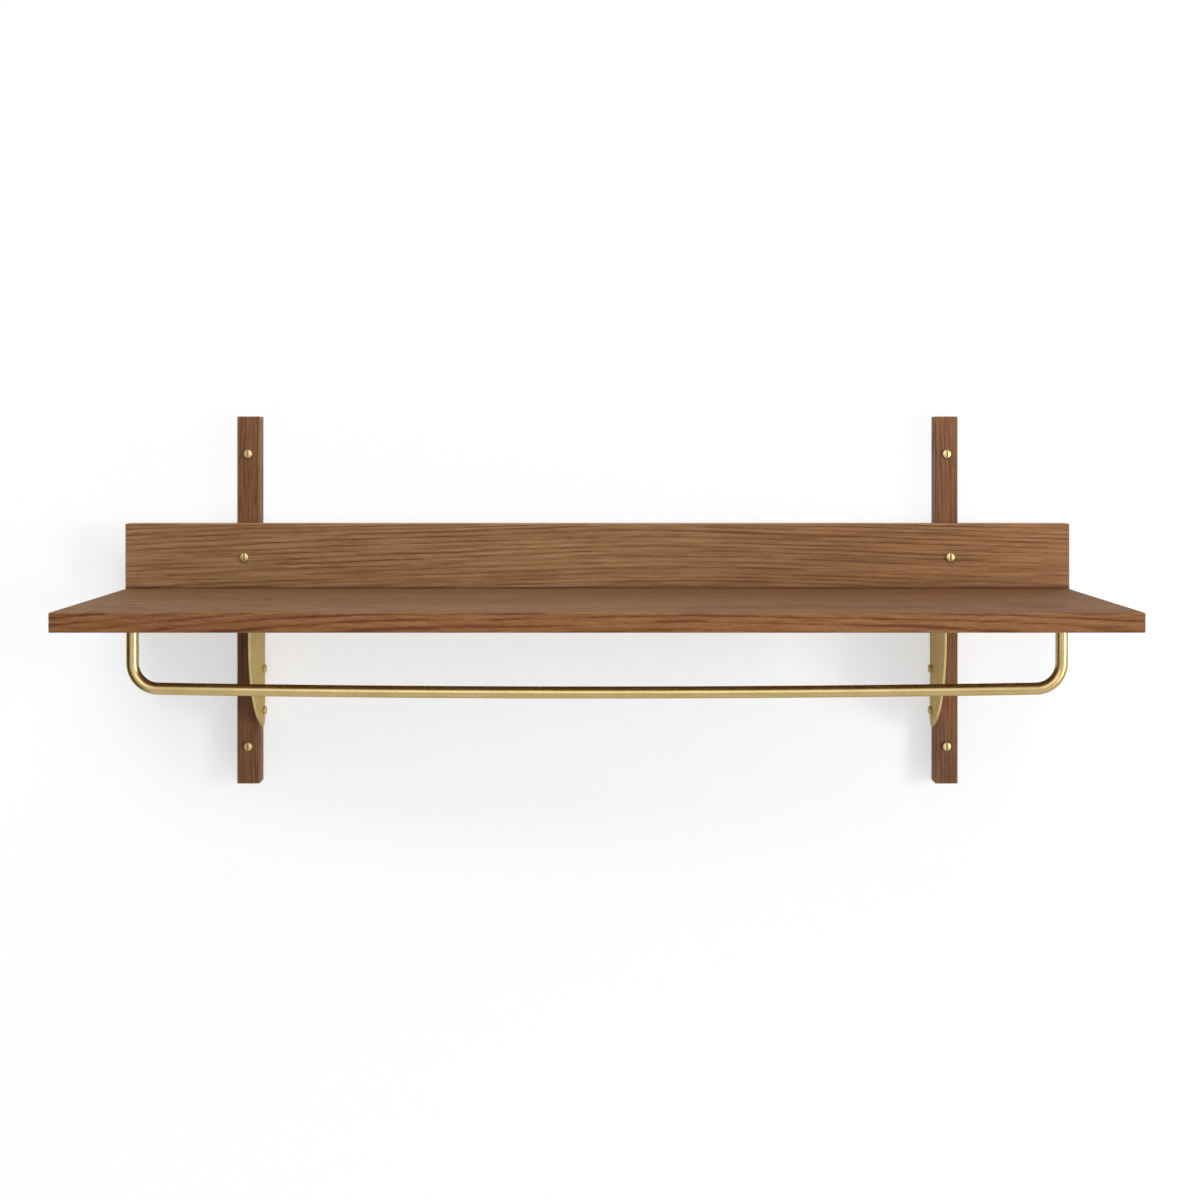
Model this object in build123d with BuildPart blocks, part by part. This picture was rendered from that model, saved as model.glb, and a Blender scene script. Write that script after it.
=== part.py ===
from build123d import *
import os

# Wall shelf: a wooden board and back board on two uprights, carried by two brass
# brackets, with a round hanging rail screwed up into the board's underside.
#
# Frame, in millimetres: +X to the right as seen from the room, +Y into the wall, +Z up.
# The origin is on the wall plane, in the middle of the four wall screws.

# ---------------------------------------------------------------- driving dimensions
shelf_length = 870        # end to end
shelf_depth = 208         # from the back board's face to the front edge
shelf_thickness = 16
back_thickness = 16
back_rise = 60            # back board above the shelf's top face
edge_radius = 1.0         # eased edges of the boards and uprights
joint_edge_radius = 0.5   # arris of the shelf where it meets the back board

upright_width = 21
upright_depth = 18        # stands off the wall by this much
upright_overhang = 110    # from the end of the shelf to the middle of an upright
upright_rise = 159        # upright above the shelf's top face
upright_tail = 48         # upright below the bracket's sharp lower corner
wall_screw_inset = 35     # from each end of an upright
back_screw_inset = 31     # below the back board's top edge

plate_thickness = 2       # sheet of the brackets
bracket_reach = 50        # bracket's front edge ahead of the uprights' front faces
bracket_wall_gap = 3      # bracket's back edge off the wall
bracket_drop = 119        # shelf's underside to the sharp lower corner
bracket_straight = 28     # upright stretch of the front edge
bracket_tip_radius = 8    # rounding of the lower corner
flange_width = 24.5       # bent flange under the shelf, with the plate's thickness
flange_corner_radius = 5
bend_inner_radius = 1     # inside of the sheet's bend
plate_edge_radius = 0.3   # broken edges of the sheet
side_screw_tip_inset = 19  # lower side screw above the sharp corner
side_screw_pitch = 39     # between the two side screws
flange_screw_inset = 11.5  # flange screws from the plate's outer face

rail_diameter = 10
rail_end_inset = 50.5     # rail leg's axis from the end of the shelf
rail_front_inset = 57     # rail leg's axis from the front edge
rail_drop = 52.5          # shelf's underside to the rail's axis, at the legs
rail_bow = 3.6            # how much lower the middle of the run hangs
rail_bend_radius = 21.5   # at the rod's axis
socket_depth = 2.5        # recess that each rail end sits in
plug_diameter = 10
plug_thickness = 4

screw_diameter = 4.5      # wall, back board and side screws
screw_head_diameter = 7.4
screw_head_height = 2.8
wall_bite = 32            # wall screw beyond the wall plane
wall_shank_diameter = 5   # wall screw inside the upright, thicker than in the wall
small_screw_diameter = 3.5  # flange screws
small_head_diameter = 6
small_head_height = 2.1
slot_width = 1.5
slot_floor = 1.2          # metal left under a screw's slot
head_dome = 0.5           # how far a screw head's middle stands above its rim
head_edge_radius = 0.4    # rounding of a screw head's rim
thread_pitch = 1.8
thread_depth = 0.5
thread_share = 0.55       # of a wood screw's length
rail_screw_diameter = 5
rail_screw_length = 25
rail_head_diameter = 8.5
rail_head_height = 3.3
tap_run_out = 3           # tapped hole beyond the rail screw's end

dowel_diameter = 8
dowel_length = 30
dowel_count = 6
dowel_end_inset = 50      # outermost dowels from the ends of the shelf
dowel_chamfer = 1
back_dowel_wall = 4       # wood left behind a dowel hole in the back board
upright_screw_wall = 4    # wood left beyond a back board screw
side_screw_wall = 7       # wood left beyond a side screw
flange_screw_wall = 6     # wood left beyond a flange screw

fit = 0.05                # radial clearance of screws, dowels and plugs
hole_run_out = 1          # blind holes beyond the end of a dowel or screw

# ------------------------------------------------------------------- derived places
upright_below = shelf_thickness + bracket_drop + upright_tail
upright_height = upright_rise + upright_below
shelf_top = (upright_below - upright_rise) / 2
shelf_bottom = shelf_top - shelf_thickness
shelf_middle = (shelf_top + shelf_bottom) / 2
back_top = shelf_top + back_rise
back_height = back_top - shelf_bottom

upright_front = -upright_depth
back_front = upright_front - back_thickness
shelf_front = back_front - shelf_depth

upright_x = shelf_length / 2 - upright_overhang
wall_screw_z = upright_height / 2 - wall_screw_inset
back_screw_z = back_top - back_screw_inset
upright_middle_y = -upright_depth / 2

plate_outer_x = upright_x - upright_width / 2
plate_inner_x = plate_outer_x - plate_thickness
bracket_back = -bracket_wall_gap
bracket_front = upright_front - bracket_reach
bracket_corner_z = shelf_bottom - bracket_drop
side_screw_zs = [
    bracket_corner_z + side_screw_tip_inset,
    bracket_corner_z + side_screw_tip_inset + side_screw_pitch,
]
flange_bottom = shelf_bottom - plate_thickness
flange_screw_x = plate_outer_x - flange_screw_inset
flange_screw_ys = [
    (upright_front + back_front) / 2,    # into the back board's lower edge
    (back_front + bracket_front) / 2,    # into the shelf
]

rail_x = shelf_length / 2 - rail_end_inset
rail_y = shelf_front + rail_front_inset
rail_top = shelf_bottom + socket_depth
rail_corner_z = shelf_bottom - rail_drop
rail_seat = shelf_top - plug_thickness - rail_head_height
tap_depth = rail_screw_length - (rail_seat - rail_top) + tap_run_out

wall_screw_length = upright_depth + wall_bite
back_screw_length = back_thickness + upright_depth - upright_screw_wall
side_screw_length = plate_thickness + upright_width - side_screw_wall
flange_screw_length = plate_thickness + shelf_thickness - flange_screw_wall

back_hole_depth = back_thickness - back_dowel_wall
dowel_back_reach = back_hole_depth - hole_run_out
dowel_shelf_reach = dowel_length - dowel_back_reach
dowel_pitch = (shelf_length - 2 * dowel_end_inset) / (dowel_count - 1)

screw_hole = screw_diameter / 2 + fit
small_screw_hole = small_screw_diameter / 2 + fit
sides = {"left": -1, "right": 1}

os.makedirs("parts", exist_ok=True)


# ------------------------------------------------------------------------- the board
with BuildPart() as shelf_board:
    with BuildSketch(Plane.XY.offset(shelf_bottom)):
        with Locations((0, back_front)):
            Rectangle(shelf_length, shelf_depth, align=(Align.CENTER, Align.MAX))
    extrude(amount=shelf_thickness)
    joint_edges = shelf_board.faces().sort_by(Axis.Y)[-1].edges()
    fillet(shelf_board.edges() - joint_edges, radius=edge_radius)
    joint_arris = shelf_board.faces().sort_by(Axis.Y)[-1].edges().sort_by(Axis.Z)[-1]
    chamfer(joint_arris, length=joint_edge_radius)

    # rail screws from above, under wooden plugs, and the sockets of the rail's ends
    with Locations((-rail_x, rail_y, shelf_top), (rail_x, rail_y, shelf_top)):
        CounterBoreHole(rail_screw_diameter / 2 + fit, plug_diameter / 2, shelf_top - rail_seat)
    with BuildSketch(Plane.XY.offset(shelf_bottom)):
        with Locations((-rail_x, rail_y), (rail_x, rail_y)):
            Circle(rail_diameter / 2 + fit)
    extrude(amount=socket_depth, mode=Mode.SUBTRACT)

    # pilot holes of the front flange screws
    with BuildSketch(Plane.XY.offset(shelf_bottom)):
        with Locations((-flange_screw_x, flange_screw_ys[1]), (flange_screw_x, flange_screw_ys[1])):
            Circle(small_screw_hole)
    extrude(amount=flange_screw_length - plate_thickness + hole_run_out, mode=Mode.SUBTRACT)

    # dowel holes in the back edge
    with BuildSketch(Plane.XZ.offset(-back_front)):
        with Locations((0, shelf_middle)):
            with GridLocations(dowel_pitch, 0, dowel_count, 1):
                Circle(dowel_diameter / 2 + fit)
    extrude(amount=dowel_shelf_reach + hole_run_out, mode=Mode.SUBTRACT)
shelf_board.part.label = "shelf_board"
export_step(shelf_board.part, "parts/shelf_board.step")


# -------------------------------------------------------------------- the back board
with BuildPart() as back_board:
    with BuildSketch(Plane.XZ.offset(-upright_front)):
        with Locations((0, shelf_bottom)):
            Rectangle(shelf_length, back_height, align=(Align.CENTER, Align.MIN))
    extrude(amount=back_thickness)
    fillet(back_board.edges(), radius=edge_radius)

    # screws into the uprights
    with BuildSketch(Plane.XZ.offset(-upright_front)):
        with Locations((-upright_x, back_screw_z), (upright_x, back_screw_z)):
            Circle(screw_hole)
    extrude(amount=back_thickness, mode=Mode.SUBTRACT)

    # pilot holes of the rear flange screws, in the lower edge
    with BuildSketch(Plane.XY.offset(shelf_bottom)):
        with Locations((-flange_screw_x, flange_screw_ys[0]), (flange_screw_x, flange_screw_ys[0])):
            Circle(small_screw_hole)
    extrude(amount=flange_screw_length - plate_thickness + hole_run_out, mode=Mode.SUBTRACT)

    # dowel holes
    with BuildSketch(Plane.XZ.offset(-back_front)):
        with Locations((0, shelf_middle)):
            with GridLocations(dowel_pitch, 0, dowel_count, 1):
                Circle(dowel_diameter / 2 + fit)
    extrude(amount=-back_hole_depth, mode=Mode.SUBTRACT)
back_board.part.label = "back_board"
export_step(back_board.part, "parts/back_board.step")


# ---------------------------------------------------------------------- the uprights
for side, sign in sides.items():
    with BuildPart() as upright:
        with BuildSketch(Plane.XZ):
            with Locations((sign * upright_x, 0)):
                Rectangle(upright_width, upright_height)
        extrude(amount=upright_depth)
        fillet(upright.edges(), radius=edge_radius)

        # wall screws, right through
        with BuildSketch(Plane.XZ):
            with Locations((sign * upright_x, 0)):
                with GridLocations(0, 2 * wall_screw_z, 1, 2):
                    Circle(wall_shank_diameter / 2 + fit)
        extrude(amount=upright_depth, mode=Mode.SUBTRACT)

        # back board screw, from the front
        with BuildSketch(Plane.XZ.offset(-upright_front)):
            with Locations((sign * upright_x, back_screw_z)):
                Circle(screw_hole)
        extrude(amount=-(back_screw_length - back_thickness + hole_run_out), mode=Mode.SUBTRACT)

        # side screws, from the inner face
        with BuildSketch(Plane.YZ.offset(sign * plate_outer_x)):
            with Locations(*[(upright_middle_y, z) for z in side_screw_zs]):
                Circle(screw_hole)
        extrude(
            amount=sign * (side_screw_length - plate_thickness + hole_run_out),
            mode=Mode.SUBTRACT,
        )
    upright.part.label = f"{side}_upright"
    export_step(upright.part, f"parts/{side}_upright.step")


# ---------------------------------------------------------------------- the brackets
with BuildPart() as left_bracket:
    # L section of the bent sheet, pulled forward from its back edge
    with BuildSketch(Plane.XZ.offset(-bracket_back)) as section:
        with Locations((-plate_outer_x, shelf_bottom)):
            Rectangle(plate_thickness, bracket_drop, align=(Align.MIN, Align.MAX))
            Rectangle(flange_width, plate_thickness, align=(Align.MIN, Align.MAX))
        outer_corner = section.vertices().sort_by_distance((-plate_outer_x, shelf_bottom))[0]
        fillet(outer_corner, radius=bend_inner_radius + plate_thickness)
        inner_corner = section.vertices().sort_by_distance((-plate_inner_x, flange_bottom))[0]
        fillet(inner_corner, radius=bend_inner_radius)
    extrude(amount=bracket_back - bracket_front)

    # side outline: an upright front edge that sweeps back to a rounded tip
    with BuildSketch(Plane.YZ.offset(-plate_outer_x)) as outline:
        with BuildLine():
            front_end = (bracket_front, shelf_bottom - bracket_straight)
            corner = (bracket_back, bracket_corner_z)
            TangentArc(front_end, corner, tangent=(0, -1))
            Polyline(corner, (bracket_back, shelf_bottom), (bracket_front, shelf_bottom), front_end)
        make_face()
        fillet(outline.vertices().sort_by(Axis.Y)[0], radius=bracket_tip_radius)
    extrude(amount=flange_width, mode=Mode.INTERSECT)
    free_corners = left_bracket.edges().filter_by(Axis.Z).group_by(Axis.X)[-1]
    fillet(free_corners, radius=flange_corner_radius)
    big_faces = left_bracket.faces().filter_by(GeomType.PLANE).sort_by(SortBy.AREA)[-4:]
    rims = [edge for face in big_faces for edge in face.outer_wire().edges()]
    bend_lines = left_bracket.edges().filter_by(Axis.Y)
    fillet(ShapeList(rims) - bend_lines, radius=plate_edge_radius)

    # side screw holes and flange screw holes
    with BuildSketch(Plane.YZ.offset(-plate_outer_x)):
        with Locations(*[(upright_middle_y, z) for z in side_screw_zs]):
            Circle(screw_hole)
    extrude(amount=plate_thickness, mode=Mode.SUBTRACT)
    with BuildSketch(Plane.XY.offset(shelf_bottom)):
        with Locations(*[(-flange_screw_x, y) for y in flange_screw_ys]):
            Circle(small_screw_hole)
    extrude(amount=-plate_thickness, mode=Mode.SUBTRACT)
left_bracket.part.label = "left_bracket"
export_step(left_bracket.part, "parts/left_bracket.step")

with BuildPart() as right_bracket:
    mirror(left_bracket.part, about=Plane.YZ)
right_bracket.part.label = "right_bracket"
export_step(right_bracket.part, "parts/right_bracket.step")


# ------------------------------------------------------------------ the hanging rail
with BuildPart() as hanging_rail:
    with BuildLine(Plane.XZ.offset(-rail_y)) as rail_path:
        Line((-rail_x, rail_top), (-rail_x, rail_corner_z))
        ThreePointArc(
            (-rail_x, rail_corner_z), (0, rail_corner_z - rail_bow), (rail_x, rail_corner_z)
        )
        Line((rail_x, rail_corner_z), (rail_x, rail_top))
        corners = rail_path.vertices().group_by(Axis.Z)[0]
        fillet(corners, radius=rail_bend_radius)
    with BuildSketch(Plane.XY.offset(rail_top)):
        with Locations((-rail_x, rail_y)):
            Circle(rail_diameter / 2)
    sweep(path=rail_path.wire())

    # tapped holes up the legs
    with BuildSketch(Plane.XY.offset(rail_top)):
        with Locations((-rail_x, rail_y), (rail_x, rail_y)):
            Circle(rail_screw_diameter / 2 + fit)
    extrude(amount=-tap_depth, mode=Mode.SUBTRACT)
hanging_rail.part.label = "hanging_rail"
export_step(hanging_rail.part, "parts/hanging_rail.step")


# ------------------------------------------------------------------------ the screws
def wood_screw(seat, length, diameter, head_diameter, head_height, shank=None):
    """Slotted pan-head wood screw. Its head stands on the seat plane, on the side that
    the plane's normal points to, and its slot runs along the plane's Y. A shank is the
    diameter and length of a thicker stretch next to the head."""
    radius = diameter / 2
    neck = [(radius, 0)]
    if shank:
        neck = [(shank[0] / 2, 0), (shank[0] / 2, -shank[1]), (radius, -shank[1])]
    root = radius - thread_depth
    thread_start = -length * (1 - thread_share)
    point_start = diameter - length
    turns = int((thread_start - point_start) / thread_pitch)
    thread = [(radius, thread_start)]
    for turn in range(turns):
        crest = thread_start - (turn + 0.5) * thread_pitch
        thread += [(root, crest + thread_pitch / 2), (radius, crest)]
    thread += [(root, thread_start - turns * thread_pitch), (root, point_start), (0, -length)]
    shoulder = (head_diameter / 2 - head_edge_radius, head_height - head_dome)
    rim = (head_diameter / 2, shoulder[1] - head_edge_radius)

    with BuildPart() as screw:
        with BuildSketch(Plane(seat.origin, x_dir=seat.x_dir, z_dir=-seat.y_dir)):
            with BuildLine():
                TangentArc((0, head_height), shoulder, tangent=(1, 0))
                TangentArc(shoulder, rim, tangent=(1, 0))
                Polyline(rim, (head_diameter / 2, 0), *neck, *thread, (0, head_height))
            make_face()
        revolve(axis=Axis(seat.origin, seat.z_dir))
        with BuildSketch(seat.offset(slot_floor)):
            Rectangle(slot_width, head_diameter)
        extrude(amount=head_height, mode=Mode.SUBTRACT)
    return screw.part


def save(piece, name):
    piece.label = name
    export_step(piece, f"parts/{name}.step")


for side, sign in sides.items():
    for level, z in {"upper": wall_screw_z, "lower": -wall_screw_z}.items():
        seat = Plane((sign * upright_x, upright_front, z), x_dir=(1, 0, 0), z_dir=(0, -1, 0))
        screw = wood_screw(
            seat,
            wall_screw_length,
            screw_diameter,
            screw_head_diameter,
            screw_head_height,
            shank=(wall_shank_diameter, upright_depth),
        )
        save(screw, f"{level}_{side}_wall_screw")

    seat = Plane((sign * upright_x, back_front, back_screw_z), x_dir=(1, 0, 0), z_dir=(0, -1, 0))
    screw = wood_screw(
        seat, back_screw_length, screw_diameter, screw_head_diameter, screw_head_height
    )
    save(screw, f"{side}_back_board_screw")

    for level, z in zip(("lower", "upper"), side_screw_zs):
        seat = Plane(
            (sign * plate_inner_x, upright_middle_y, z), x_dir=(0, -sign, 0), z_dir=(-sign, 0, 0)
        )
        screw = wood_screw(
            seat, side_screw_length, screw_diameter, screw_head_diameter, screw_head_height
        )
        save(screw, f"{level}_{side}_side_screw")

    for end, y in zip(("rear", "front"), flange_screw_ys):
        seat = Plane((sign * flange_screw_x, y, flange_bottom), x_dir=(1, 0, 0), z_dir=(0, 0, -1))
        screw = wood_screw(
            seat, flange_screw_length, small_screw_diameter, small_head_diameter, small_head_height
        )
        save(screw, f"{end}_{side}_flange_screw")

    # machine screw down through the board into the rail's leg
    with BuildPart() as rail_screw:
        with BuildSketch(Plane.XY.offset(rail_seat)):
            with Locations((sign * rail_x, rail_y)):
                Circle(rail_head_diameter / 2)
        extrude(amount=rail_head_height)
        with BuildSketch(Plane.XY.offset(rail_seat)):
            with Locations((sign * rail_x, rail_y)):
                Circle(rail_screw_diameter / 2)
        extrude(amount=-rail_screw_length)
        with BuildSketch(Plane.XY.offset(rail_seat + slot_floor)):
            with Locations((sign * rail_x, rail_y)):
                Rectangle(slot_width, rail_head_diameter)
        extrude(amount=rail_head_height, mode=Mode.SUBTRACT)
    save(rail_screw.part, f"{side}_rail_screw")

    # wooden plug over its head, flush with the board
    with BuildPart() as rail_plug:
        with BuildSketch(Plane.XY.offset(shelf_top)):
            with Locations((sign * rail_x, rail_y)):
                Circle(plug_diameter / 2 - fit)
        extrude(amount=-plug_thickness)
    save(rail_plug.part, f"{side}_rail_plug")


# ------------------------------------------------------------------------ the dowels
for index in range(dowel_count):
    dowel_x = (index - (dowel_count - 1) / 2) * dowel_pitch
    with BuildPart() as dowel:
        with BuildSketch(Plane.XZ.offset(-back_front - dowel_back_reach)):
            with Locations((dowel_x, shelf_middle)):
                Circle(dowel_diameter / 2)
        extrude(amount=dowel_length)
        chamfer(dowel.edges().filter_by(GeomType.CIRCLE), length=dowel_chamfer)
    save(dowel.part, f"dowel_{index + 1}")
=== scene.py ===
import math

import bpy
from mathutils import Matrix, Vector


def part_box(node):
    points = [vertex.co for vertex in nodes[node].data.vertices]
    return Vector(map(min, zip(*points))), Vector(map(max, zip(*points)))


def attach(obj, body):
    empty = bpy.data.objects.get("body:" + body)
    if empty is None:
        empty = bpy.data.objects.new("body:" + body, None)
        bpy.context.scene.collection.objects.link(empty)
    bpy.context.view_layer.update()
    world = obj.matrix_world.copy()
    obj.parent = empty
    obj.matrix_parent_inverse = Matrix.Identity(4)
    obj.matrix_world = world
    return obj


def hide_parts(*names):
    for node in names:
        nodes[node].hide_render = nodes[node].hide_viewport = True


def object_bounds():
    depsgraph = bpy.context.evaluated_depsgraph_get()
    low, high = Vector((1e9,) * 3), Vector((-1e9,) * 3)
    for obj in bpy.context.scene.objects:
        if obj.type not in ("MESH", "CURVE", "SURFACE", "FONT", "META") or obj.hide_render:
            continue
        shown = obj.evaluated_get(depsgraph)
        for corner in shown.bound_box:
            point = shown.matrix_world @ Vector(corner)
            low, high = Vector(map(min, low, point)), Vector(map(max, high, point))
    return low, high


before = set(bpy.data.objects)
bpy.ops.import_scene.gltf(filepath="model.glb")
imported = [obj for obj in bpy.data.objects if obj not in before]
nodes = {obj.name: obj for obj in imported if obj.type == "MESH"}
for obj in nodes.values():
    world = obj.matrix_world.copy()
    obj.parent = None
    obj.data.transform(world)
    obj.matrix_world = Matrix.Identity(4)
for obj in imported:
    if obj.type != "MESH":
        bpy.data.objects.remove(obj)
cad_low, cad_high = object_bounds()
scene = bpy.context.scene


# ------------------------------------------------------------------ node helpers
class Shader:
    """The nodes of a material or a world, made by calls that return nodes or their outputs."""

    def __init__(self, owner):
        self.owner = owner
        owner.use_nodes = True
        self.tree = owner.node_tree
        self.tree.nodes.clear()

    def feed(self, socket, value):
        if isinstance(value, bpy.types.NodeSocket):
            self.tree.links.new(value, socket)
        else:
            socket.default_value = value

    def node(self, kind, inputs=None, **settings):
        made = self.tree.nodes.new("ShaderNode" + kind)
        for key, value in settings.items():
            setattr(made, key, value)
        for key, value in (inputs or {}).items():
            self.feed(made.inputs[key], value)
        return made

    def place(self):
        return self.node("TexCoord").outputs["Object"]

    def math(self, operation, *values, clamp=False):
        made = self.node("Math", dict(enumerate(values)), operation=operation, use_clamp=clamp)
        return made.outputs[0]

    def vector(self, operation, *values):
        made = self.node("VectorMath", dict(enumerate(values)), operation=operation)
        return made.outputs["Value" if operation == "LENGTH" else "Vector"]

    def scale(self, vector, factors):
        return self.vector("MULTIPLY", vector, factors)

    def turned(self, vector, turn):
        return self.node("Mapping", {"Vector": vector, "Rotation": turn}).outputs["Vector"]

    def axis(self, vector, name):
        return self.node("SeparateXYZ", {0: vector}).outputs[name]

    def noise(self, vector, detail, roughness=0.5, output="Fac"):
        made = self.node(
            "TexNoise", {"Vector": vector, "Scale": 1.0, "Detail": detail, "Roughness": roughness}
        )
        return made.outputs[output]

    def drift(self, vector, detail):
        """Noise in all three directions, about zero."""
        return self.vector("SUBTRACT", self.noise(vector, detail, output="Color"), (0.5, 0.5, 0.5))

    def ramp(self, value, stops):
        made = self.node("ValToRGB", {"Fac": value})
        elements = made.color_ramp.elements
        while len(elements) < len(stops):
            elements.new(1.0)
        for element, (place, colour) in zip(elements, stops):
            element.position = place
            element.color = (*colour, 1.0)
        return made.outputs["Color"]

    def span(self, value, low, high, out_low=0.0, out_high=1.0, smooth=True):
        """value taken from low and high to out_low and out_high, and held there beyond them."""
        made = self.node(
            "MapRange",
            {"Value": value, 1: low, 2: high, 3: out_low, 4: out_high},
            interpolation_type="SMOOTHSTEP" if smooth else "LINEAR",
        )
        return made.outputs["Result"]

    def mix(self, factor, first, second, blend="MIX"):
        made = self.node("Mix", data_type="RGBA", blend_type=blend)
        for key, value in {"Factor_Float": factor, "A_Color": first, "B_Color": second}.items():
            socket = next(s for s in made.inputs if s.identifier == key)
            self.feed(socket, (*value, 1.0) if isinstance(value, tuple) else value)
        return next(s for s in made.outputs if s.identifier == "Result_Color")

    def tint(self, factor, colour, by):
        return self.mix(factor, colour, by, "MULTIPLY")

    def seen(self):
        """1 on rays from the camera, off something glossy or through glass, else 0."""
        rays = self.node("LightPath").outputs
        either = self.math("MAXIMUM", rays["Is Camera Ray"], rays["Is Glossy Ray"])
        return self.math("MAXIMUM", either, rays["Is Transmission Ray"])

    def finish(self, inputs, bump, strength, distance):
        made = self.node("Bump", {"Strength": strength, "Distance": distance, "Height": bump})
        shader = self.node("BsdfPrincipled", {**inputs, "Normal": made.outputs["Normal"]})
        self.node("OutputMaterial", {"Surface": shader.outputs["BSDF"]})
        return self.owner


def srgb(red, green, blue):
    """A colour written as 0-255 display values, as the linear colour that nodes take."""
    def linear(value):
        value /= 255
        return value / 12.92 if value <= 0.04045 else ((value + 0.055) / 1.055) ** 2.4
    return linear(red), linear(green), linear(blue)


# ------------------------------------------------------------------------- woods
# how fine each feature of the log is, along the grain and in the two ways across it
SLOW_BENDS = (2.4, 7, 7)
WAVERS = (16, 60, 60)
UNEVEN_YEARS = (1.2, 45, 45)
STREAKS = (20, 480, 480)
PORES = (130, 2300, 2300)
FIBRES = (75, 1500, 1500)
FADES = (11, 140, 140)
PATCHES = (4, 16, 16)
RUBS = (60, 60, 60)

# how far the bends and the wavers carry the grain to the side, in metres, and the uneven
# years carry a ring, in rings
BEND_REACH = 0.026
WAVER_REACH = 0.0034
YEAR_REACH = 2.2

# how open the wood is from the start of one year's ring to the start of the next
YEAR = [(0.0, 0.2), (0.1, 1.0), (0.24, 0.8), (0.42, 0.22), (0.62, 0.05), (0.9, 0.0), (1.0, 0.2)]

# how much fibre and pores darken the wood, how many times as much the rings do on a tinted
# edge, and how much rougher the darkest wood is
FIBRE_SHADE = 0.42
PORE_SHADE = 0.3
EDGE_RINGS = 2.4
DARK_ROUGHNESS = 0.16

# how high pores, early wood and fibre stand, as shares of the bump
PORE_HEIGHT = -1.0
EARLY_HEIGHT = -0.35
FIBRE_HEIGHT = 0.35

# what each thing multiplies the colour of the wood by
PATCH_TINT = (0.9, 0.86, 0.82)
RED_TINT = (0.86, 0.78, 0.72)
# painted shade along the glued joint of the back board and the shelf
JOINT_SHADE_TINT = (0.46, 0.37, 0.3)
ARRIS_TINT = (1.22, 1.2, 1.16)
END_GRAIN_TINT = (0.62, 0.56, 0.52)

# where along the grain the reddening starts and is full, and how far above and below a glued
# joint the line of painted shade is full and has gone, in metres
RED_FROM, RED_TO = -0.1, 0.42
JOINT_FULL, JOINT_GONE = 0.0002, 0.0024


def log_place(s, place, shifted, pith, sway, arch):
    """A point's place in the log, whose middle runs along X through pith, after the log's slow
    bends, the small waver of each ring and the arch."""
    log = s.vector("SUBTRACT", place, pith)
    slow = s.drift(s.scale(shifted, SLOW_BENDS), 1.0)
    log = s.vector("ADD", log, s.scale(slow, (0, BEND_REACH * sway, BEND_REACH * sway)))
    waver = s.drift(s.scale(shifted, WAVERS), 3.0)
    log = s.vector("ADD", log, s.scale(waver, (0, WAVER_REACH * sway, WAVER_REACH * sway)))
    if arch:
        middle, length, height = arch
        along = s.math("DIVIDE", s.math("SUBTRACT", s.axis(place, "X"), middle), length)
        bow = s.math("DIVIDE", -height, s.math("MULTIPLY_ADD", along, along, 1.0))
        log = s.vector("ADD", log, s.node("CombineXYZ", {"Z": bow}).outputs["Vector"])
    return log


def early_wood(s, log, taper, ring):
    """How open the wood is at a point of the log: it rises and falls once in each ring."""
    radius = s.vector("LENGTH", s.scale(log, (taper, 1, 1)))
    uneven = s.noise(s.scale(log, UNEVEN_YEARS), 1.0)
    years = s.math("MULTIPLY_ADD", uneven, YEAR_REACH, s.math("DIVIDE", radius, ring))
    early = s.ramp(s.math("FRACT", years), [(at, (share,) * 3) for at, share in YEAR])
    fade = s.noise(s.scale(log, FADES), 2.0)
    return s.math("MULTIPLY", early, s.span(fade, 0.3, 0.66, 0.25, 1.0))


def rub_arrises(s, colour, normal, shifted):
    """Rubs the rounded arrises, whose normals lie between the axes, lighter here and there."""
    sides = s.node("SeparateXYZ", {0: s.vector("ABSOLUTE", normal)}).outputs
    flat = s.math("MAXIMUM", sides["X"], s.math("MAXIMUM", sides["Y"], sides["Z"]))
    rub = s.span(s.noise(s.scale(shifted, RUBS), 2.0), 0.3, 0.6, 0.2, 1.0)
    return s.tint(s.math("MULTIPLY", s.span(flat, 0.9, 0.995, 1.0, 0.0), rub), colour, ARRIS_TINT)


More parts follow.
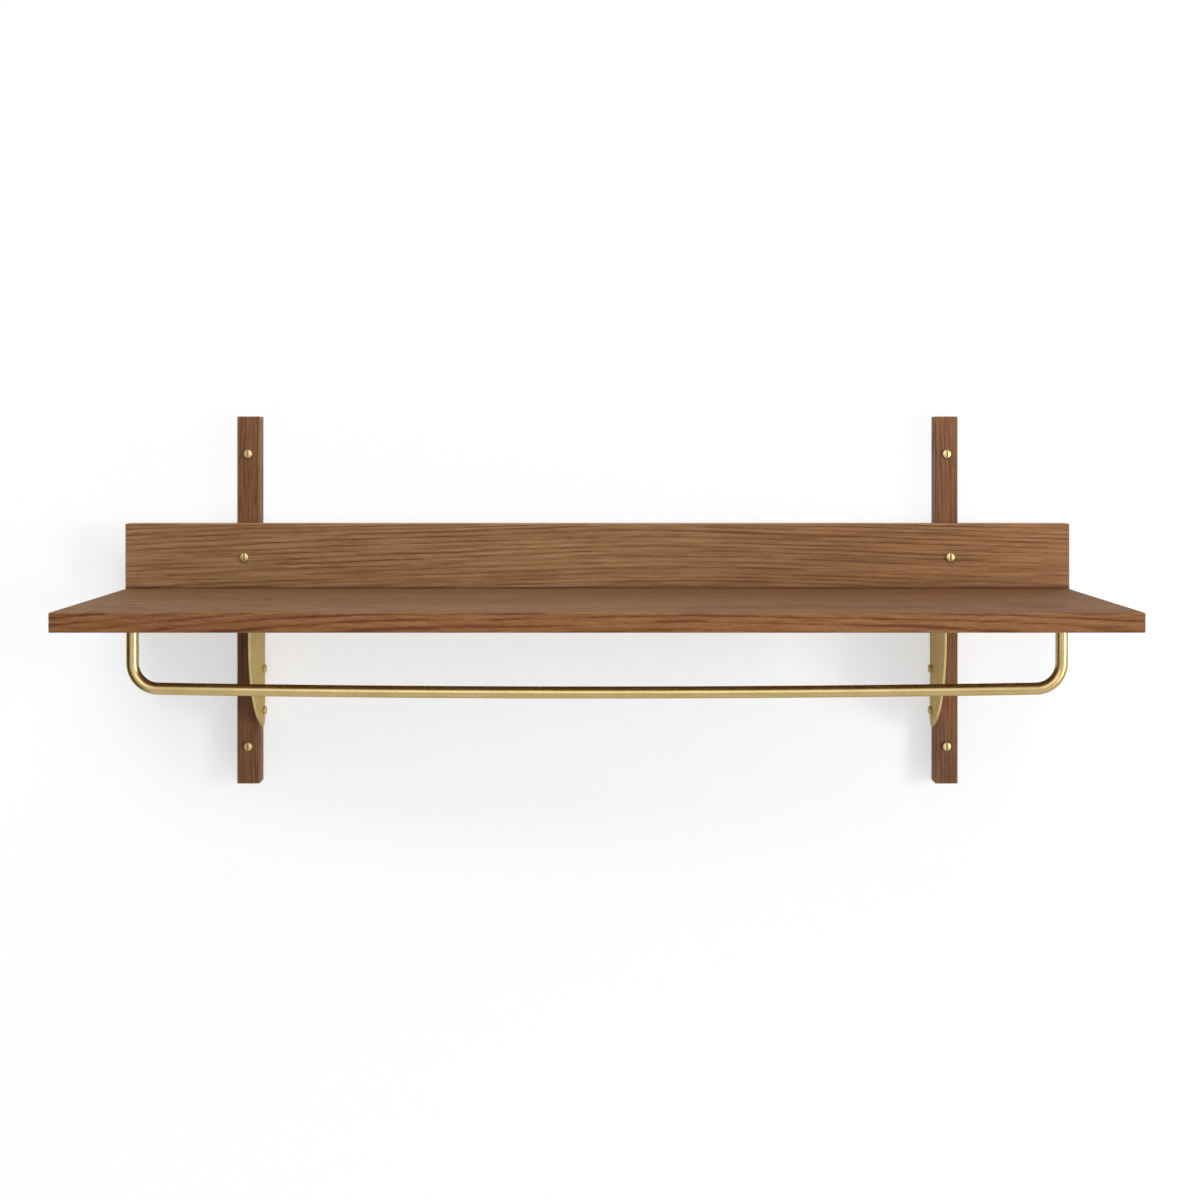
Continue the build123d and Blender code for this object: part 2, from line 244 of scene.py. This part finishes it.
def oak(name, turn, pith, tones, ring=0.0043, taper=0.1, arch=None, stretch=1.0, sway=1.0, seed=0.0,
        red=0.0, rings=0.5, dull=0.47, edge=None, joint=None):
    """Oiled oak cut from a solid log. turn brings the grain to X, and pith is a point on the
    log's middle. tones are the light, middle and dark of the wood. ring is the width of a
    year's ring, a larger taper closes the rings along the grain, and arch = (middle, half
    length, height) bows them. A larger stretch gives shorter pores and streaks, sway is how
    much the grain bends, and seed picks other bends and patches. red darkens and reddens the
    wood to the right, rings is how much the rings show, and dull is its roughness. edge tints
    the faces that look forward, and joint is the height of a glued joint, along which a line
    of painted shade darkens the faces that look forward."""
    light, mid, dark = tones
    s = Shader(bpy.data.materials.new(name))
    place = s.turned(s.place(), turn)
    shifted = s.vector("ADD", place, (seed, seed * 0.37, seed * 0.71))
    normal = s.node("NewGeometry").outputs["Normal"]
    front = s.span(s.math("ABSOLUTE", s.axis(normal, "Y")), 0.4, 0.9)
    log = log_place(s, place, shifted, pith, sway, arch)
    early = early_wood(s, log, taper, ring)

    def grain(features, detail, roughness):
        along, *across = features
        return s.noise(s.scale(log, (along * stretch, *across)), detail, roughness)

    # streaks of pores, long and thin, and the fine fibre between them
    streak = grain(STREAKS, 4.0, 0.62)
    fibre = grain(FIBRES, 2.0, 0.6)
    pores = s.span(grain(PORES, 2.0, 0.55), 0.54, 0.68)
    pores = s.math("MULTIPLY", pores, s.span(early, 0.05, 0.7, 0.35, 1.0))

    # the shade, from the light tone to the dark one
    shade = s.span(streak, 0.2, 0.8, -0.04, 0.78, smooth=False)
    if edge:
        rings = s.span(front, 0.0, 1.0, rings, EDGE_RINGS * rings, smooth=False)
    shade = s.math("MULTIPLY_ADD", early, rings, shade)
    uneven = s.span(fibre, 0.2, 0.8, -0.5, 0.5, smooth=False)
    shade = s.math("MULTIPLY_ADD", uneven, FIBRE_SHADE, shade)
    shade = s.math("MULTIPLY_ADD", pores, PORE_SHADE, shade, clamp=True)
    colour = s.ramp(shade, [(0.08, light), (0.5, mid), (1.0, dark)])

    # slow changes of tone over the board, then what its faces and edges have of their own
    patch = s.noise(s.scale(shifted, PATCHES), 2.0)
    colour = s.tint(s.span(patch, 0.38, 0.7), colour, PATCH_TINT)
    if red:
        along = s.span(s.axis(place, "X"), RED_FROM, RED_TO, 0.0, red)
        if edge:
            along = s.math("MULTIPLY", along, s.math("SUBTRACT", 1.0, front))
        colour = s.tint(along, colour, RED_TINT)
    if edge:
        colour = s.tint(front, colour, edge)
    # a line of painted shade along the glued joint, on the faces that look forward
    if joint:
        off = s.math("ABSOLUTE", s.math("SUBTRACT", s.axis(place, "Z"), joint))
        line = s.math("MULTIPLY", s.span(off, JOINT_FULL, JOINT_GONE, 1.0, 0.0), front)
        colour = s.tint(line, colour, JOINT_SHADE_TINT)
    colour = rub_arrises(s, colour, normal, shifted)

    # end grain takes more oil
    across = s.math("ABSOLUTE", s.axis(s.turned(normal, turn), "X"))
    oiled = s.tint(1.0, colour, END_GRAIN_TINT)
    colour = s.mix(s.span(across, 0.55, 0.95), colour, oiled)

    rough = s.math("MULTIPLY_ADD", shade, DARK_ROUGHNESS, dull)
    height = s.math("MULTIPLY", early, EARLY_HEIGHT)
    height = s.math("MULTIPLY_ADD", pores, PORE_HEIGHT, height)
    height = s.math("MULTIPLY_ADD", fibre, FIBRE_HEIGHT, height)
    return s.finish(
        {"Base Color": colour, "Roughness": rough, "Specular IOR Level": 0.2},
        bump=height, strength=0.5, distance=0.00012,
    )


# the turns that bring to X the grain of what lies along X, Z and Y
level = (0, 0, 0)
upright = (0, math.radians(90), 0)
forward = (0, 0, math.radians(90))
shelf_low, shelf_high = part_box("shelf_board")
back_low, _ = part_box("back_board")

brown = (srgb(132, 98, 64), srgb(112, 78, 48), srgb(82, 52, 27))
tan = (srgb(166, 128, 90), srgb(138, 101, 67), srgb(97, 64, 37))
umber = (srgb(130, 91, 60), srgb(110, 73, 46), srgb(78, 47, 27))
chestnut = (srgb(138, 100, 62), srgb(120, 84, 49), srgb(90, 58, 32))
beech = (srgb(226, 196, 158), srgb(214, 180, 140), srgb(190, 150, 110))

board_wood = oak(
    "board_wood", level, (0.12, shelf_low.y + 0.05, shelf_low.z - 0.05), brown,
    stretch=1.8, sway=0.6, seed=3.1, red=1.0, rings=0.3, dull=0.64, edge=(1.2, 1.06, 0.96),
)
back_wood = oak(
    "back_wood", level, (0.05, back_low.y - 0.012, back_low.z - 0.05), tan,
    arch=(0.05, 0.17, 0.006), stretch=0.8, sway=0.4, seed=7.7, red=1.0,
    joint=shelf_high.z + 0.0006,
)
left_wood = oak(
    "upright_wood_left", upright, (0.0, -0.03, -0.36), umber,
    taper=0.05, stretch=2.0, seed=1.3, rings=0.3,
)
right_wood = oak(
    "upright_wood_right", upright, (0.1, -0.04, 0.28), umber,
    taper=0.05, stretch=1.2, seed=5.2, rings=0.35,
)
plug_wood = oak("plug_wood", upright, (0.0, -0.3, -0.2), chestnut, seed=9.2, dull=0.7)
dowel_wood = oak("dowel_wood", forward, (0.0, 0.3, 0.02), beech, ring=0.0026, seed=2.4)


# ------------------------------------------------------------------------- brass
# how fine the clouds and the finger smudges on the metal are
CLOUDS = (26, 26, 26)
SMUDGES = (90, 90, 90)

# how rough a smudge is, how near a wall has to be to darken a slotted head, in metres, and
# what its tarnish and painted shade multiply the colour by
SMUDGE_ROUGHNESS = 0.06
TARNISH_AND_SHADE_REACH = 0.0016
TARNISH_AND_SHADE_TINT = (0.36, 0.3, 0.2)


def brass(name, light, dark, stretch, rough, streak, bump=0.25, edge=(0.62, 0.5, 0.3),
          metal=1.0, gloss=0.5, rod=False, slotted=False):
    """Metal with fine lines, which run along the axis where stretch is smallest. rough is its
    roughness, and streak is what the lines add to that. edge is what it reflects near grazing.
    On a rod, the lines follow the rod's own length. A slotted head is darkened in its slot and
    against what it sits on, partly by tarnish and partly by painted shade."""
    s = Shader(bpy.data.materials.new(name))
    place = s.node("Attribute", attribute_name="rod").outputs["Vector"] if rod else s.place()
    lines = s.noise(s.scale(place, stretch), 4.0, 0.65)
    cloud = s.noise(s.scale(place, CLOUDS), 3.0, 0.6)
    smudge = s.noise(s.scale(place, SMUDGES), 2.0, 0.6)
    tone = s.math("ADD", s.math("MULTIPLY", lines, 0.6), s.math("MULTIPLY", cloud, 0.4))
    colour = s.mix(s.span(tone, 0.38, 0.62), dark, light)
    if slotted:
        # tarnish in the slot, and painted shade in the slot and where the head meets what it sits
        # on
        nook = s.node("AmbientOcclusion", {"Distance": TARNISH_AND_SHADE_REACH}, samples=16)
        tarnish_and_shade = s.span(nook.outputs["AO"], 0.4, 0.95, 1.0, 0.0)
        colour = s.tint(tarnish_and_shade, colour, TARNISH_AND_SHADE_TINT)
    wear = s.math("MULTIPLY", smudge, SMUDGE_ROUGHNESS)
    wear = s.math("ADD", s.math("MULTIPLY", lines, streak), wear)
    return s.finish(
        {"Base Color": colour, "Metallic": metal, "Roughness": s.math("ADD", wear, rough),
         "Specular Tint": (*edge, 1.0), "Specular IOR Level": gloss},
        bump=lines, strength=bump, distance=0.00002,
    )


bracket_brass = brass(
    "bracket_brass", srgb(208, 188, 138), srgb(192, 170, 116), (900, 900, 18),
    rough=0.28, streak=0.12, edge=(0.5, 0.38, 0.18), metal=0.62, gloss=0.05,
)
rail_brass = brass(
    "rail_brass", srgb(192, 171, 122), srgb(178, 156, 104), (14, 1200, 1200),
    rough=0.19, streak=0.1, rod=True,
)
screw_brass = brass(
    "screw_brass", srgb(218, 199, 146), srgb(202, 181, 124), (700, 700, 700),
    rough=0.4, streak=0.08, bump=0.1, metal=0.8, slotted=True,
)
rail_screw_steel = brass(
    "rail_screw_steel", (0.62, 0.62, 0.6), (0.5, 0.5, 0.49), (600, 600, 600),
    rough=0.28, streak=0.1, bump=0.1, edge=(0.7, 0.7, 0.7),
)

# a node takes the material of the first of these that its name holds
FINISHES = {
    "rail_screw": rail_screw_steel,
    "screw": screw_brass,
    "plug": plug_wood,
    "dowel": dowel_wood,
    "bracket": bracket_brass,
    "hanging_rail": rail_brass,
    "shelf_board": board_wood,
    "back_board": back_wood,
    "left_upright": left_wood,
    "right_upright": right_wood,
}
for name, node in nodes.items():
    material = next(finish for kind, finish in FINISHES.items() if kind in name)
    node.data.materials.clear()
    node.data.materials.append(material)


# ------------------------------------------------------------------ hanging rail
# the rail's own sizes in metres, the same as in the part's source
RAIL_BOW = 0.0036  # how much lower the middle of the run hangs
RAIL_BEND = 0.0215  # radius of the bends, at the rod's axis
TAP_RADIUS = 0.00255  # tapped hole up each leg
TAP_RUN_OUT = 0.003  # tapped hole beyond the rail screw's end

# how many steps draw half of the run, one bend, one leg and the way around the rod
RUN_STEPS = 40
BEND_STEPS = 20
LEG_STEPS = 6
AROUND = 48


def rail_line(leg, middle, lowest, top):
    """The rod's centreline from the left leg's top to the right leg's, as points with their
    outward normals: two straight legs, two bends, and a run that hangs in a slight bow."""
    sweep = (leg**2 + RAIL_BOW**2) / (2 * RAIL_BOW)
    centre = lowest + sweep
    turn_x = leg - RAIL_BEND
    turn_z = centre - math.sqrt((sweep - RAIL_BEND) ** 2 - turn_x**2)
    slope = math.asin(turn_x / (sweep - RAIL_BEND))
    rise = top - turn_z
    right = Vector((1, 0, 0))

    def arc(hub, radius, start, end, steps):
        for i in range(1, steps + 1):
            angle = start + (end - start) * i / steps
            out = Vector((math.sin(angle), 0, -math.cos(angle)))
            yield hub + out * radius, out

    half = [*arc(Vector((0, middle, centre)), sweep, 0, slope, RUN_STEPS)]
    half += arc(Vector((turn_x, middle, turn_z)), RAIL_BEND, slope, math.pi / 2, BEND_STEPS)
    for i in range(1, LEG_STEPS + 1):
        half.append((Vector((leg, middle, turn_z + rise * i / LEG_STEPS)), right))
    mirrored = [(Vector((-p.x, p.y, p.z)), Vector((-n.x, n.y, n.z))) for p, n in reversed(half)]
    return [*mirrored, (Vector((0, middle, lowest)), Vector((0, 0, -1))), *half]


def hanging_rail():
    """The rod as one swept mesh with a tapped hole up each end. Each vertex keeps its place
    along and around the rod, so the drawing lines in the brass follow the legs and bends."""
    low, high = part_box("hanging_rail")
    screw_low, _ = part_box("left_rail_screw")
    radius = (high.y - low.y) / 2
    line = rail_line(high.x - radius, (low.y + high.y) / 2, low.z + radius, high.z)
    down = Vector((0, 0, screw_low.z - high.z - TAP_RUN_OUT))
    verts, places = [], []

    def ring(point, out, size, walked):
        for j in range(AROUND):
            turn = 2 * math.pi * j / AROUND
            a, b = size * math.cos(turn), size * math.sin(turn)
            verts.append(point + out * a + Vector((0, b, 0)))
            places.append((walked, a, b))

    # up the left hole, over its rim, along the rod and down the right hole
    (start, start_out), (end, end_out) = line[0], line[-1]
    ring(start + down, start_out, TAP_RADIUS, 0.0)
    ring(start, start_out, TAP_RADIUS, 0.0)
    walked, before = 0.0, start
    for point, out in line:
        walked += (point - before).length
        before = point
        ring(point, out, radius, walked)
    ring(end, end_out, TAP_RADIUS, walked)
    ring(end + down, end_out, TAP_RADIUS, walked)

    last = len(verts) - AROUND
    faces = [tuple(reversed(range(AROUND))), tuple(range(last, last + AROUND))]
    for i in range(0, last, AROUND):
        for j in range(AROUND):
            k = (j + 1) % AROUND
            faces.append((i + j, i + k, i + AROUND + k, i + AROUND + j))
    mesh = bpy.data.meshes.new("hanging_rail_drawn")
    mesh.from_pydata(verts, [], faces)
    attribute = mesh.attributes.new("rod", "FLOAT_VECTOR", "POINT")
    attribute.data.foreach_set("vector", [x for place in places for x in place])
    mesh.materials.append(rail_brass)
    mesh.set_sharp_from_angle(angle=math.radians(40))
    for polygon in mesh.polygons:
        polygon.use_smooth = True
    made = bpy.data.objects.new("hanging_rail_drawn", mesh)
    scene.collection.objects.link(made)
    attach(made, "root")
    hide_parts("hanging_rail")


hanging_rail()


# ------------------------------------------------------------- stage: wall and floor
WALL_Y = 0.0002  # just clear of the uprights' backs
FLOOR_Z = cad_low.z - 0.9
WIDE = 6.0

# how far the wall and floor are drawn to plain white in the shelf's shadow, and elsewhere
SHADOW_LIFT, BARE_LIFT = 0.5, 0.92

# the shadow's reach in metres: it is full up to the first distance from the middle of the
# shelf and has gone at the second, with heights counted FLATTEN times, and the same upwards
SHADOW_REACH = (0.43, 0.68)
SHADOW_TOP = (0.02, 0.1)
FLATTEN = 2.4


def stage_plane(name, corners, material):
    mesh = bpy.data.meshes.new(name)
    mesh.from_pydata(corners, [], [tuple(range(len(corners)))])
    made = bpy.data.objects.new(name, mesh)
    scene.collection.objects.link(made)
    mesh.materials.append(material)
    return made


def plaster(name):
    """Matt white paint seen from its front only. It is drawn part of the way to plain white
    where the camera, something glossy or glass sees it, and less so where the shelf's shadow
    falls."""
    s = Shader(bpy.data.materials.new(name))
    place = s.place()
    grain = s.noise(s.scale(place, (300, 300, 300)), 2.0)
    colour = s.mix(grain, (0.925, 0.93, 0.938), (0.945, 0.95, 0.958))
    paint = s.node("BsdfDiffuse", {"Color": colour, "Roughness": 0.5}).outputs["BSDF"]
    away = s.span(s.vector("LENGTH", s.scale(place, (1.0, 1.0, FLATTEN))), *SHADOW_REACH)
    bare = s.math("MAXIMUM", away, s.span(s.axis(place, "Z"), *SHADOW_TOP))
    lift = s.span(bare, 0.0, 1.0, SHADOW_LIFT, BARE_LIFT, smooth=False)
    lift = s.math("MULTIPLY", s.seen(), lift)
    white = s.node("Emission", {"Color": (1, 1, 1, 1), "Strength": 1.0}).outputs["Emission"]
    front = s.node("MixShader", {0: lift, 1: paint, 2: white}).outputs["Shader"]

    # clear from behind, and to shadow rays, so that the rear lamps reach the wood
    back = s.node("NewGeometry").outputs["Backfacing"]
    clear = s.math("MAXIMUM", back, s.node("LightPath").outputs["Is Shadow Ray"])
    nothing = s.node("BsdfTransparent").outputs["BSDF"]
    shown = s.node("MixShader", {0: clear, 1: front, 2: nothing}).outputs["Shader"]
    s.node("OutputMaterial", {"Surface": shown})
    return s.owner


def dark_felt():
    s = Shader(bpy.data.materials.new("dark_felt"))
    weave = s.noise(s.scale(s.place(), (900, 900, 900)), 2.0)
    colour = s.mix(weave, (0.12, 0.09, 0.06), (0.17, 0.13, 0.09))
    felt = s.node("BsdfDiffuse", {"Color": colour, "Roughness": 1.0}).outputs["BSDF"]
    s.node("OutputMaterial", {"Surface": felt})
    return s.owner


stage_plane(
    "wall",
    [(-WIDE, WALL_Y, FLOOR_Z), (WIDE, WALL_Y, FLOOR_Z),
     (WIDE, WALL_Y, WIDE), (-WIDE, WALL_Y, WIDE)],
    plaster("wall_paint"),
)
stage_plane(
    "floor",
    [(-WIDE, -WIDE, FLOOR_Z), (WIDE, -WIDE, FLOOR_Z),
     (WIDE, WALL_Y, FLOOR_Z), (-WIDE, WALL_Y, FLOOR_Z)],
    plaster("floor_paint"),
)

# a photographer's flag on the left, seen only in reflections, which darkens the brass's edges
flag = stage_plane(
    "flag",
    [(-1.0, 0.0, -1.0), (-1.0, -1.0, -1.0), (-1.0, -1.0, 1.6), (-1.0, 0.0, 1.6)],
    dark_felt(),
)
flag.visible_camera = False
flag.visible_diffuse = False
flag.visible_shadow = False
flag.visible_transmission = False


# ------------------------------------------------------------------------- lights
def lamp(name, azimuth, height, distance, size, power):
    """A soft lamp aimed at the shelf. azimuth goes from straight ahead to the right, and
    height is its angle above the level, both in degrees."""
    aim = Vector((0, -0.1, 0))
    a, h = math.radians(azimuth), math.radians(height)
    away = Vector((math.sin(a) * math.cos(h), -math.cos(a) * math.cos(h), math.sin(h)))
    place = aim + away * distance
    data = bpy.data.lights.new(name, "AREA")
    data.shape = "RECTANGLE"
    data.size, data.size_y = size
    data.energy = power
    made = bpy.data.objects.new(name, data)
    scene.collection.objects.link(made)
    made.location = place
    made.rotation_euler = (aim - place).to_track_quat("-Z", "Y").to_euler()
    return made


lamp("key", azimuth=60, height=3, distance=3.0, size=(0.7, 0.7), power=46)
lamp("low_right", azimuth=50, height=-10, distance=2.2, size=(0.8, 0.8), power=8)
lamp("front", azimuth=0, height=12, distance=2.4, size=(1.6, 1.0), power=8.5)
lamp("top", azimuth=0, height=60, distance=2.2, size=(2.0, 1.2), power=39)

# two lamps behind the wall light only the uprights and the back board, which a viewer sees
# through the wall from behind
for side, azimuth in (("left", -145), ("right", 145)):
    lit = bpy.data.collections.new(f"{side}_rear_wood")
    lit.objects.link(nodes[f"{side}_upright"])
    lit.objects.link(nodes["back_board"])
    rear = lamp(f"{side}_rear", azimuth, height=5, distance=2.4, size=(0.8, 0.8), power=13)
    rear.light_linking.receiver_collection = lit

# near white where it is seen, and a weak fill light elsewhere
FILL, SKY = 0.15, 0.95
world = bpy.data.worlds.new("studio")
scene.world = world
sky = Shader(world)
strength = sky.span(sky.seen(), 0.0, 1.0, FILL, SKY, smooth=False)
background = sky.node("Background", {"Color": (1, 1, 1, 1), "Strength": strength})
sky.node("OutputWorld", {"Surface": background.outputs["Background"]})

# ------------------------------------------------------------------------- camera
camera_data = bpy.data.cameras.new("camera")
camera_data.sensor_width = 36
camera_data.lens = 48.46
camera_data.shift_y = -0.1323
camera = bpy.data.objects.new("camera", camera_data)
scene.collection.objects.link(camera)
camera.location = (0.0024, -1.522, 0.1479)
camera.rotation_euler = (math.radians(90), 0, 0)
scene.camera = camera

scene.view_settings.view_transform = "Standard"
